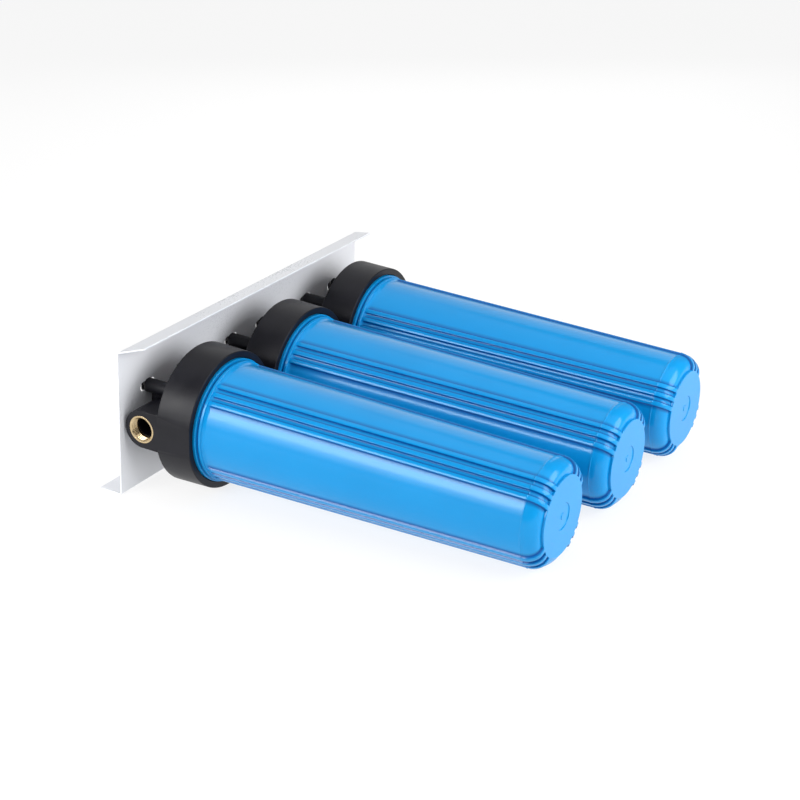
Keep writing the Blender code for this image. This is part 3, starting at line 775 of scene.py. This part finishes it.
def port_block():
    """The block across the cap's back: a half round with two straight sides, carried along Y, and drawn in at
    both ends by a quarter circle."""
    root = CAP_BACK + OVER
    turn = np.radians(np.linspace(90, 270, 33))
    outward = np.concatenate((np.stack((np.cos(turn), np.sin(turn)), axis=-1), ((0.0, -1.0), (0.0, 1.0))))
    centres = np.array([(PORT_AXIS, 0.0)] * len(turn) + [(root, 0.0)] * 2)
    sweep = np.linspace(0.0, math.pi / 2, 6)
    inset = PORT_EDGE * (1 - np.sin(sweep))
    reach = PORT_HALF - PORT_EDGE * (1 - np.cos(sweep))
    radius = PORT_RADIUS - np.concatenate((inset, inset[::-1]))
    outline = centres + radius[:, None, None] * outward
    pole = np.broadcast_to((PORT_AXIS, 0.0), (1, *outline.shape[1:]))
    outline = np.concatenate((pole, outline, pole))
    along = np.concatenate(([-PORT_HALF], -reach, reach[::-1], [PORT_HALF]))
    along = np.broadcast_to(along[:, None], outline.shape[:2])
    return np.stack((outline[..., 0], along, outline[..., 1]), axis=-1)


def slab(start, end, place, thickness, reach):
    """A flat box across a housing's Y axis: a square ring along X with a pole at both ends."""
    grid = np.empty((4, 4, 3))
    grid[..., 0] = np.array((start, start, end, end))[:, None]
    grid[..., 1] = place + thickness / 2 * np.array((-1, 1, 1, -1))
    grid[..., 2] = reach * np.array((-1, -1, 1, 1))
    grid[(0, 3), :, 1:] = (place, 0.0)
    return grid


def head_additions():
    """The port block, the relief valve's boss, the posts, and the thin walls that join them to the block."""
    root = CAP_BACK + OVER

    def pin(start, radius):
        corners = (start, 0.0, 0), (start, radius, SMALL), (root, radius, 0), (root, 0.0, 0)
        return lathe(rounded(*corners), BORE_POINTS)

    post = pin(FIT_GAP, POST_RADIUS)
    grids = [port_block(), laid(pin(RELIEF_TOP, RELIEF_RADIUS), (0, 0, RELIEF_OFFSET))]
    grids += [laid(post, (0, y * POST_OFFSET, z * POST_OFFSET)) for y, z in POST_SIDES.values()]
    grids += [slab(WEB_START, root, y * POST_OFFSET, 2 * WEB_HALF, POST_OFFSET) for y in (-1, 1)]
    return grids


def drill(start, *steps, count=BORE_POINTS):
    """A closed turned cutter: from its start it has each step's radius up to the step's end."""
    rows = [(start, 0.0)]
    for end, radius in steps:
        rows += [(start, radius), (end, radius)]
        start = end
    return lathe((*rows, (start, 0.0)), count)


def head_bores():
    """Screw holes, insert pockets with their bores, the flats on the cap's sides, and the relief valve's well
    and stem hole."""
    hole_rows = (-OVER, 0.0), (-OVER, HOLE_RADIUS), (HOLE_DEPTH, HOLE_RADIUS), (HOLE_DEPTH + SHEET, 0.0)
    hole = lathe(hole_rows, HOLE_POINTS)
    grids = [laid(hole, (0, y * POST_OFFSET, z * POST_OFFSET)) for y, z in POST_SIDES.values()]
    flat_end, flat_depth = CAP_FRONT + OVER, CAP_RADIUS - PORT_HALF + 2 * CAP_DRAFT
    pocket = (INSERT_LENGTH + FIT_GAP, INSERT_RADIUS + FIT_GAP)
    for side, end in ((-1, INLET_END), (1, OUTLET_END)):
        bore = drill(-OVER, pocket, (PORT_HALF - end, INNER_BORE))
        grids.append(laid(bore, (PORT_AXIS, side * PORT_HALF, 0), (0, -side, 0), (0, 0, 1)))
        flat_place = side * (PORT_HALF + FLAT_STEP + flat_depth / 2)
        grids.append(slab(CAP_BACK - OVER, flat_end, flat_place, flat_depth, CAP_RADIUS))
    well = (RELIEF_TOP + WELL_DEPTH, WELL_RADIUS)
    relief = drill(RELIEF_TOP - OVER, well, (CEILING + OVER, STEM_HOLE), count=WELL_POINTS)
    grids.append(laid(relief, (0, 0, RELIEF_OFFSET)))
    return grids


def water_ways():
    """The spigot's bore and the inlet passage, which open into the port bores."""
    bore = drill(PORT_AXIS, (SPIGOT_TOP + OVER, SPIGOT_BORE))
    passage = drill(PORT_AXIS, (CEILING + OVER, PASSAGE_RADIUS))
    return bore, laid(passage, (0, -PASSAGE_PLACE, 0))


def make_heads(finish):
    head = combined(mesh_of(head_cap()), "UNION", *head_additions())
    head = combined(head, "DIFFERENCE", *head_bores())
    head = cleaned(combined(head, "DIFFERENCE", *water_ways()), SHARP_HEAD)
    for stage in STAGES:
        mesh = head.copy()
        mesh.transform(Matrix.Translation((PLATE_X, STAGE_Y[stage], AXIS_Z)))
        piece(f"black_head_{stage}", mesh, finish, "root", f"filter_head_{stage}")


# Bracket


def slot_cutter(along, across, size):
    """A cutter through the flat sheet: a slot with round ends, its length across the sheet."""
    length, width = size
    turn = np.radians(turn_angles(WELL_POINTS) + 180.0 / WELL_POINTS)
    grid = np.empty((4, len(turn), 3))
    grid[..., 0] = along + width / 2 * np.cos(turn)
    grid[..., 1] = across + (length - width) / 2 * np.sign(np.sin(turn)) + width / 2 * np.sin(turn)
    grid[..., 2] = np.array((-SHEET, -SHEET, SHEET, SHEET))[:, None]
    grid[(0, 3), :, :2] = (along, across)
    return grid


def make_bracket(finish):
    """The sheet is cut out flat, its edges are rounded, and then it is folded round its two bends."""
    low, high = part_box("bracket")
    half = SHEET / 2
    lip_turn = math.pi / 2 - LIP_SLOPE
    lip_set = BEND * math.tan(lip_turn / 2)
    corner_z = high.z - half * math.cos(LIP_SLOPE) - (LIP_REACH + half) * math.tan(LIP_SLOPE)
    flange = PLATE_X - half - BEND - low.x
    plate = corner_z - lip_set - half - BEND
    lip = (LIP_REACH + half) / math.cos(LIP_SLOPE) - lip_set
    lengths = (flange, BEND * math.pi / 2, plate, BEND * lip_turn, lip)
    flange_end, plate_start, plate_end, lip_start, end = np.cumsum(lengths)
    reach = (high.y - low.y) / 2

    def folded(points):
        """A flat point (distance, across, offset) goes to the sheet's middle line at its distance: straight,
        round the first bend, straight up, round the second bend and straight. The offset follows the normal."""
        along, across, off = points.T
        first = np.clip((along - flange_end) / BEND, 0.0, math.pi / 2)
        second = np.clip((along - plate_end) / BEND, 0.0, lip_turn)
        beyond = np.clip(along - lip_start, 0.0, None)
        x = low.x + np.minimum(along, flange_end) + BEND * (np.sin(first) + 1 - np.cos(second))
        z = half + BEND * (1 - np.cos(first) + np.sin(second)) + np.clip(along - plate_start, 0.0, plate)
        x = x + beyond * math.cos(LIP_SLOPE) - off * np.sin(first - second)
        z = z + beyond * math.sin(LIP_SLOPE) + off * np.cos(first - second)
        return np.stack((x, across, z), axis=-1)

    bends = (np.linspace(flange_end, plate_start, 10), np.linspace(plate_end, lip_start, 10))
    rows = np.concatenate(([0.0], *bends, [end]))
    width = reach - LIP_CUT * np.clip((rows - lip_start) / lip, 0.0, 1.0)
    blank = np.empty((len(rows) + 2, 4, 3))
    blank[1:-1, :, 0] = rows[:, None]
    blank[1:-1, :, 1] = width[:, None] * (-1, 1, 1, -1)
    blank[1:-1, :, 2] = (-half, -half, half, half)
    blank[(0, -1), :] = ((0.0, 0.0, 0.0),), ((end, 0.0, 0.0),)
    shares = (-1.0, -1 / 3, 1 / 3, 1.0)
    slots = [slot_cutter(-low.x, share * (reach - WALL_SLOT_INSET), WALL_SLOT) for share in shares]
    for stage in STAGES:
        for side_y, side_z in POST_SIDES.values():
            along = plate_start + AXIS_Z + side_z * POST_OFFSET - half - BEND
            slots.append(slot_cutter(along, STAGE_Y[stage] + side_y * POST_OFFSET, POST_SLOT))
    sheet = combined(mesh_of(blank), "DIFFERENCE", *slots)
    edges = {"limit_method": "ANGLE", "angle_limit": math.radians(SHEET_EDGE)}
    sheet = changed(sheet, "BEVEL", width=EDGE_ROUND, segments=3, **edges)
    points = np.empty(len(sheet.vertices) * 3)
    sheet.vertices.foreach_get("co", points)
    sheet.vertices.foreach_set("co", folded(points.reshape(-1, 3)).ravel())
    piece("white_bracket", cleaned(sheet, SHARP_SHEET), finish, "root", "bracket")


# Fittings


def make_inserts(finish):
    """Port inserts: a turned ring with a chamfered mouth and a fine pipe thread cut into its bore."""
    angles = turn_angles(THREADED_POINTS)
    inner = np.linspace(2 * INSERT_CHAMFER, INSERT_LENGTH - OVER, 90)[:, None]
    wave = thread_wave(inner, angles, PIPE_PITCH, INSERT_CHAMFER, INSERT_LENGTH - PIPE_PITCH)
    outer = rounded(
        (INSERT_LENGTH, INSERT_BORE, 0),
        (INSERT_LENGTH, INSERT_RADIUS, FINE),
        (0.0, INSERT_RADIUS, FINE),
        (0.0, INSERT_BORE + INSERT_CHAMFER, FINE / 2),
        (INSERT_CHAMFER, INSERT_BORE, 0),
    )
    bore = around(inner, INSERT_BORE + PIPE_DEPTH * wave, angles)
    grid = np.concatenate((carried(outer, angles), bore))
    for stage in STAGES:
        for port, side in (("inlet", -1), ("outlet", 1)):
            origin = (PLATE_X + PORT_AXIS, STAGE_Y[stage] + side * PORT_HALF, AXIS_Z)
            mesh = mesh_of(laid(grid, origin, (0, -side, 0), (0, 0, 1)), ring=True)
            piece(f"{port}_ring_{stage}", mesh, finish, "root", f"{port}_insert_{stage}")


def make_nipples(finish):
    """Nipples between neighbouring ports: a bored tube with a hexagon round its middle."""
    angles = turn_angles(THREADED_POINTS)
    flat = (STAGE_Y[2] - STAGE_Y[1]) / 2 - PORT_HALF - FIT_GAP
    shank = INSERT_BORE - FIT_GAP
    limits = NIPPLE_CORNER - np.array((SOFT, 0.0, 0.0, SOFT))[:, None]
    heights = np.array((-flat, SMALL - flat, flat - SMALL, flat))[:, None]
    flats = around(heights, hexagon(angles, NIPPLE_HEX, limits), angles)
    reach = flat + FIT_GAP + INSERT_LENGTH - INSERT_CHAMFER
    shaft = np.array(((reach, NIPPLE_BORE), (reach, shank - SMALL), (reach - SMALL, shank), (flat, shank)))
    grid = np.concatenate((carried(shaft * (-1, 1), angles), flats, carried(shaft[::-1], angles)))
    for pair in ("12", "23"):
        mesh = mesh_of(laid(grid, middle(f"port_nipple_{pair}"), (0, 1, 0), (0, 0, 1)), ring=True)
        piece(f"brass_nipple_{pair}", mesh, finish, "root", f"port_nipple_{pair}")


def make_screws(finish):
    """Hexagon screws: a dished and chamfered hexagon on a fixed washer, and a shank with a fine thread."""
    angles = turn_angles(TURNED_POINTS)
    top = -WASHER - HEX_HEIGHT
    dish = ((top + SMALL, 0.0), (top + SMALL, HEX_DISH), (top, HEX_DISH_EDGE))
    cone = np.linspace(0.0, SOFT, 6)[:, None]
    corner = HEX_TOP + cone * HEX_SLOPE
    sides = around(top + cone, hexagon(angles, HEX_WIDTH, corner), angles)
    foot = around(-WASHER, hexagon(angles, HEX_WIDTH, corner.max())[None, :], angles)
    washer = rounded(
        (-WASHER, HEX_FOOT, 0),
        (-WASHER, WASHER_RADIUS, SMALL),
        (0.0, WASHER_RADIUS, FINE),
        (0.0, SCREW_RADIUS, 0),
    )
    shank = np.linspace(OVER, SCREW_LENGTH - OVER, 90)[:, None]
    wave = thread_wave(shank, angles, SCREW_PITCH, SHEET, SCREW_LENGTH - OVER)
    shaft = around(shank, SCREW_RADIUS - SMALL * (1 - wave), angles)
    tip = ((SCREW_LENGTH, SCREW_RADIUS - SOFT), (SCREW_LENGTH, 0.0))
    dish, washer, tip = (carried(rows, angles) for rows in (dish, washer, tip))
    grid = np.concatenate((dish, sides, foot, washer, shaft, tip))
    for stage in STAGES:
        for letter in POST_SIDES:
            node = f"mount_screw_{letter}_{stage}"
            origin = middle(node)
            origin.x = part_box(node)[0].x - top
            mesh = mesh_of(laid(grid, origin), sharp=SHARP_SCREW)
            piece(f"hex_screw_{letter}_{stage}", mesh, finish, "root", node)


def make_seal(name, node, body, count, finish):
    """A ring of round section in place of a CAD ring, its sizes read from the CAD ring's box."""
    low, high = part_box(node)
    outer, half = (high.z - low.z) / 2, (high.x - low.x) / 2
    turn = np.radians(turn_angles(WIRE_POINTS))[:, None]
    grid = around(half * np.sin(turn), outer - half + half * np.cos(turn), turn_angles(count))
    piece(name, mesh_of(laid(grid, middle(node)), ring=True), finish, body, node)


def make_seals(finish):
    for stage in STAGES:
        make_seal(f"sealing_ring_{stage}", f"sump_o_ring_{stage}", f"seal_body_{stage}", SEAL_POINTS, finish)
        node, body = f"relief_seal_{stage}", f"relief_body_{stage}"
        make_seal(f"stem_ring_{stage}", node, body, STEM_SEAL_POINTS, finish)


# Cartridges and relief buttons


def media_grid(low, high):
    """The medium, wound crosswise: its radius less a shallow dent where two families of winding lines, the
    cosines of three turns plus and minus height / pitch, leave a gap. Its rounded ends close to the core."""
    angles = turn_angles(SEAL_POINTS)
    height = np.linspace(low, high, 220)[:, None]
    turn = np.radians(angles) * FIBRE_TURNS
    rise = 2 * math.pi * height / FIBRE_PITCH
    ends = smooth_step(0.0, SOFT, np.minimum(height - low, high - height))
    dent = FIBRE_DEPTH * (1 - np.cos(turn + rise) * np.cos(turn - rise)) * ends + SOFT * (1 - ends)
    bore = ((high, CORE_RADIUS + FIT_GAP), (low, CORE_RADIUS + FIT_GAP))
    return np.concatenate((around(height, MEDIA_RADIUS - dent, angles), carried(bore, angles)))


def core_grid(low, high):
    return ring_of(low, high, CORE_BORE, CORE_RADIUS, FINE)


def cap_grid(low, high):
    return ring_of(low, high, END_HOLE, MEDIA_RADIUS, SMALL, CAP_POINTS)


def gasket_grid(low, high):
    return ring_of(low, high, END_HOLE, SEAT_RADIUS, SMALL)


def make_cartridges(fibre, plastic, rubber):
    """Each part is made between the two ends of its CAD node along the housing's axis."""
    parts = {"media": (media_grid, fibre, "white_media"), "core": (core_grid, plastic, "white_plastic")}
    for end in ("top", "bottom"):
        parts[f"{end}_cap"] = (cap_grid, plastic, "white_plastic")
        parts[f"{end}_gasket"] = (gasket_grid, rubber, "black_rubber")
    for stage in STAGES:
        for part, (grid_between, finish, slot) in parts.items():
            node = f"cartridge_{part}_{stage}"
            low, high = (corner.x - PLATE_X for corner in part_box(node))
            mesh = mesh_of(in_housing(grid_between(low, high), stage), ring=True)
            piece(f"filter_{part}_{stage}", mesh, finish, f"cartridge_body_{stage}", node)


def make_buttons(finish):
    """Relief buttons: a dished button, its stem and the foot that carries the seal."""
    for stage in STAGES:
        node = f"relief_button_{stage}"
        start, end = (corner.x - PLATE_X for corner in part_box(node))
        profile = rounded(
            (start + SMALL, 0.0, 0),
            (start + SMALL, BUTTON_RADIUS / 2, FINE),
            (start, BUTTON_RADIUS * 0.7, FINE),
            (start, BUTTON_RADIUS, SMALL),
            (start + BUTTON_HEIGHT, BUTTON_RADIUS, FINE),
            (start + BUTTON_HEIGHT, STEM_RADIUS, FINE),
            (end - FOOT_HEIGHT, STEM_RADIUS, FINE),
            (end - FOOT_HEIGHT, FOOT_RADIUS, FINE),
            (end, FOOT_RADIUS, FINE),
            (end, 0.0, 0),
        )
        mesh = mesh_of(in_housing(lathe(profile, BORE_POINTS), stage, RELIEF_OFFSET))
        piece(f"red_button_{stage}", mesh, finish, f"relief_body_{stage}", node)


def dress_springs(finish):
    """The springs stay as the frame makes them, because they shorten with their buttons."""
    for stage in STAGES:
        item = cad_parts[f"relief_spring_{stage}"]
        item.data.materials.clear()
        item.data.materials.append(finish)


# Floor, lights and camera

FLOOR_TILT = math.radians(2.85)
FLOOR_EDGE = Vector((14.5 * MM, 0.0, -0.2 * MM))
FLOOR_REACH = 14.0
LIGHT_TARGET = Vector((0.30, 0.0, 0.10))


def make_floor():
    """A pale floor under the flange's front edge and the sumps' ends, on which the object rests tipped."""
    slope = Vector((math.cos(FLOOR_TILT), 0.0, math.sin(FLOOR_TILT))) * FLOOR_REACH
    side = Vector((0.0, FLOOR_REACH, 0.0))
    back, front = FLOOR_EDGE - slope, FLOOR_EDGE + slope
    points = (back - side, front - side, front + side, back + side)
    mesh = bpy.data.meshes.new("floor")
    mesh.from_pydata(points, [], [(0, 1, 2, 3)])
    mesh.materials.append(pale_floor())
    item = bpy.data.objects.new("floor", mesh)
    bpy.context.scene.collection.objects.link(item)


def add_lamp(name, kind, energy, direction, distance, **settings):
    """A lamp that faces the middle of the object from a direction."""
    lamp = bpy.data.lights.new(name, kind)
    lamp.energy = energy
    for setting, value in settings.items():
        setattr(lamp, setting, value)
    item = bpy.data.objects.new(name, lamp)
    item.location = LIGHT_TARGET + Vector(direction).normalized() * distance
    item.rotation_euler = (LIGHT_TARGET - item.location).to_track_quat("-Z", "Y").to_euler()
    bpy.context.scene.collection.objects.link(item)


def soft_box(name, direction, distance, width, height, radiance):
    """A rectangular lamp. Its power is its radiance times its area times pi."""
    power = radiance * width * height * math.pi
    add_lamp(name, "AREA", power, direction, distance, shape="RECTANGLE", size=width, size_y=height)


def make_lights():
    """Three boxes in front share an upper edge, so that together they fade downwards."""
    upper_edge = Vector((-0.822, -1.727, 1.153))
    downward = Vector((-0.155, -0.326, -0.933))
    for number, (height, radiance) in enumerate(((0.55, 8.4), (0.9, 2.6), (1.4, 0.8))):
        centre = upper_edge + downward * height / 2
        soft_box(f"front_box_{number}", centre, centre.length, 1.3, height, radiance)
    soft_box("rear_box", (-0.449, 0.80, 0.42), 2.2, 1.6, 1.6, 0.85)
    soft_box("top_box", (-0.4, 0.15, 0.9), 2.6, 2.0, 1.8, 0.8)
    soft_box("end_box", (1.0, 0.05, 0.52), 1.5, 1.6, 0.9, 4.8)
    add_lamp("wide_sky", "SUN", 0.88, (0.45, -0.15, 0.9), 3.0, angle=math.radians(80))
    world = bpy.data.worlds.new("studio")
    world.use_nodes = True
    world.node_tree.nodes["Background"].inputs["Color"].default_value = (1.0, 1.0, 1.0, 1.0)
    world.node_tree.nodes["Background"].inputs["Strength"].default_value = 0.2
    bpy.context.scene.world = world
    bpy.context.scene.view_settings.view_transform = "Standard"


def make_camera():
    """The camera of the photograph, by its place, its directions to the right and back, and its lens."""
    back = Vector((0.4491, -0.8009, 0.3962)).normalized()
    right = Vector((0.8641, 0.5021, 0.0356))
    right = (right - back * right.dot(back)).normalized()
    data = bpy.data.cameras.new("camera")
    data.lens = 85.129
    data.shift_x = -0.01556
    data.shift_y = -0.03794
    item = bpy.data.objects.new("camera", data)
    turn = Matrix((right, back.cross(right), back)).transposed().to_4x4()
    item.matrix_world = Matrix.Translation((1.4166, -2.0161, 1.1412)) @ turn
    bpy.context.scene.collection.objects.link(item)
    bpy.context.scene.camera = item


brass = machined_brass()
zinc = zinc_plate()
rubber = black_rubber()
make_sumps(blue_polypropylene())
make_heads(black_polypropylene())
make_bracket(white_powder_coat())
make_inserts(brass)
make_nipples(brass)
make_screws(zinc)
make_seals(rubber)
make_cartridges(blown_fibre(), white_plastic(), rubber)
make_buttons(red_plastic())
dress_springs(zinc)
make_floor()
make_lights()
make_camera()
